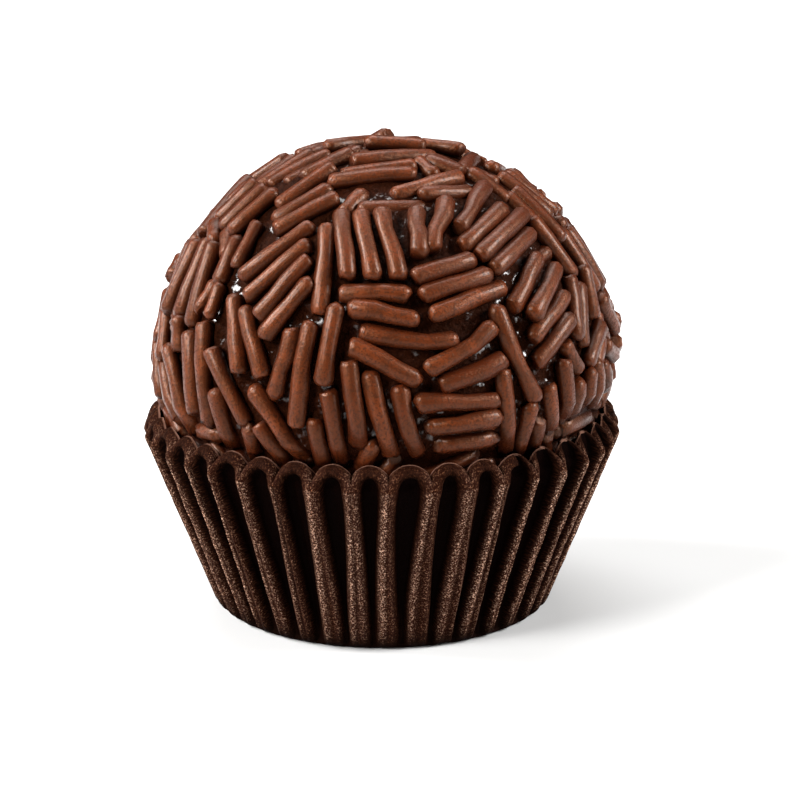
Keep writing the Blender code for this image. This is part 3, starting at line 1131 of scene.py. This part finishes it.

# %% [markdown]
# ## The paper's finish
#
# The case is dyed greaseproof paper, and light and shade are painted into its colour: a
# painted highlight along the two ridges of each crest and along the cut edge, and painted
# shade that turns nearly black down in the valleys and darkens the wall where it meets the
# table. The pleats' stored values decide this: one for the depth below a crest, with more
# painted shade along the crease and in the middle of each hood, one for the ridges, one for
# the cut edge and one for the foot. The fibres run slantwise and are mirrored about each crest,
# so they use the paper's own UV map, in mm: noise stretched along one direction reads as short
# threads.

# %% Threads of the paper
paper, tree, shader = material_nodes("greaseproof_paper", 0.6, 0.01)
flat_place = node(tree, "ShaderNodeUVMap", uv_map="paper")
slant = node(tree, "ShaderNodeMapping", vector_type="TEXTURE")
slant.inputs["Rotation"].default_value[2] = math.radians(52)
slant.inputs["Scale"].default_value = (0.2, 0.054, 1.0)   # length and width of a thread, mm
tree.links.new(flat_place.outputs[0], slant.inputs["Vector"])
strands = node(tree, "ShaderNodeTexNoise", noise_dimensions="2D")
strands.inputs["Scale"].default_value = 1.0
strands.inputs["Detail"].default_value = 1.0
strands.inputs["Roughness"].default_value = 0.6
tree.links.new(slant.outputs[0], strands.inputs["Vector"])
strand = mapped(tree, strands.outputs[0], 0.42, 0.68)
print("threads run at", round(math.degrees(slant.inputs["Rotation"].default_value[2])), "degrees")

# %% Colours of the paper
DYE_DARK = (0.013, 0.0024, 0.0007)          # the crests: dye, and threads that show in it
DYE_LIGHT = (0.027, 0.0064, 0.0023)
THREAD = (0.185, 0.076, 0.038)
BESIDE_THREAD = (0.012, 0.0030, 0.0014)
RIDGE_HIGHLIGHT = (0.330, 0.158, 0.094)              # the ridges, with a painted highlight
RIDGE_HIGHLIGHT_THREAD = (0.980, 0.640, 0.470)
BESIDE_RIDGE_HIGHLIGHT = (0.030, 0.0110, 0.0065)
FLANK_SHADE = (0.004, 0.0010, 0.0004)             # painted shade down the sides of a fold, and at its bottom
FLANK_SHADE_THREAD = (0.022, 0.0070, 0.0034)
VALLEY_SHADE = (0.0018, 0.0003, 0.0001)
FOOT_SHADE = (0.005, 0.0016, 0.0009)
CUT_EDGE_HIGHLIGHT = (0.26, 0.13, 0.09)

fibre = add_grain(tree, 0.11, 0.50, 0.66)
patch = add_grain(tree, 0.9, 0.35, 0.65)
ground = mixed(tree, patch.outputs["Mask"], DYE_DARK, DYE_LIGHT)
crest = mixed(tree, strand, ground, THREAD)
crest = mixed(tree, fibre.outputs["Mask"], BESIDE_THREAD, crest)
# painted highlight along the ridges, with brighter threads in it
pale = mixed(tree, strand, RIDGE_HIGHLIGHT, RIDGE_HIGHLIGHT_THREAD)
pale = mixed(tree, fibre.outputs["Mask"], BESIDE_RIDGE_HIGHLIGHT, pale)
crest = mixed(tree, value_of(tree, "ridge_highlight"), crest, pale)
# painted shade: the crest's colour gives way to a near-black flank, then to the valley's black, as
# the fold deepens
deep = mapped(tree, value_of(tree, "fold"), 0.0, 0.44, kind="SMOOTHSTEP")
flank = mixed(tree, strand, FLANK_SHADE, FLANK_SHADE_THREAD)
colour = mixed(tree, deep, crest, flank)
bottom = mapped(tree, value_of(tree, "fold"), 0.35, 0.9, kind="SMOOTHSTEP")
colour = mixed(tree, bottom, colour, VALLEY_SHADE)
# painted shade at the foot of the wall, where it meets the table
colour = mixed(tree, value_of(tree, "foot_shade"), colour, FOOT_SHADE)
# painted highlight along the cut edge
colour = mixed(tree, value_of(tree, "edge"), colour, CUT_EDGE_HIGHLIGHT)
tree.links.new(colour, shader.inputs["Base Color"])
bumped(tree, shader, strands.outputs[0], 0.05)
case.data.materials.append(paper)
print(paper.name, "has", len(tree.nodes), "nodes")

# %% [markdown]
# ## Studio
#
# Food is lit from behind and above, so that its top edge glows, with a smaller key from the
# upper left to shape each sprinkle. Two soft lights at the sides draw the outline, and a weak
# one low at the right opens up the pleats there. All are large and far away for soft shadows.
# The floor is pale and plain.

# %% Floor
FLOOR_REACH = 3.0        # metres from the middle to each side

floor_corners = FLOOR_REACH * np.array([(-1, -1, 0), (1, -1, 0), (1, 1, 0), (-1, 1, 0)])
floor_mesh = bpy.data.meshes.new("floor")
floor_mesh.from_pydata(floor_corners.tolist(), [], [(0, 1, 2, 3)])
floor = put("floor", floor_mesh)
pale_floor, tree, shader = material_nodes("pale_floor", 0.9, 0.1)
shader.inputs["Base Color"].default_value = (0.50, 0.498, 0.494, 1.0)
floor.data.materials.append(pale_floor)
print("floor is", 2 * FLOOR_REACH, "m wide")

# %% Lights
def softbox(name, place, size, power):
    """A rectangular area light aimed at the ball: place and size in mm, power in watts."""
    lamp = bpy.data.lights.new(name, "AREA")
    lamp.shape = "RECTANGLE"
    lamp.size, lamp.size_y = size[0] * MM, size[1] * MM
    lamp.energy = power
    aim(put(name, lamp), np.array(place, float), LOOK_AT)


softbox("over the back", (-60, 380, 816), (700, 500), 7.9)
softbox("key", (-500, -360, 430), (260, 320), 8.6)
softbox("left edge", (-620, 60, 420), (240, 320), 10.3)
softbox("right edge", (620, -60, 420), (240, 320), 10.2)
softbox("low right", (520, -300, 120), (160, 200), 1.0)
print(len(bpy.data.lights), "lights")

# %% Sky and view
world = bpy.data.worlds.new("studio")
bpy.context.scene.world = world
world.use_nodes = True
world.node_tree.nodes["Background"].inputs["Color"].default_value = (1, 1, 1, 1)
world.node_tree.nodes["Background"].inputs["Strength"].default_value = 0.04
bpy.context.scene.view_settings.view_transform = "Standard"
print("view transform:", bpy.context.scene.view_settings.view_transform)
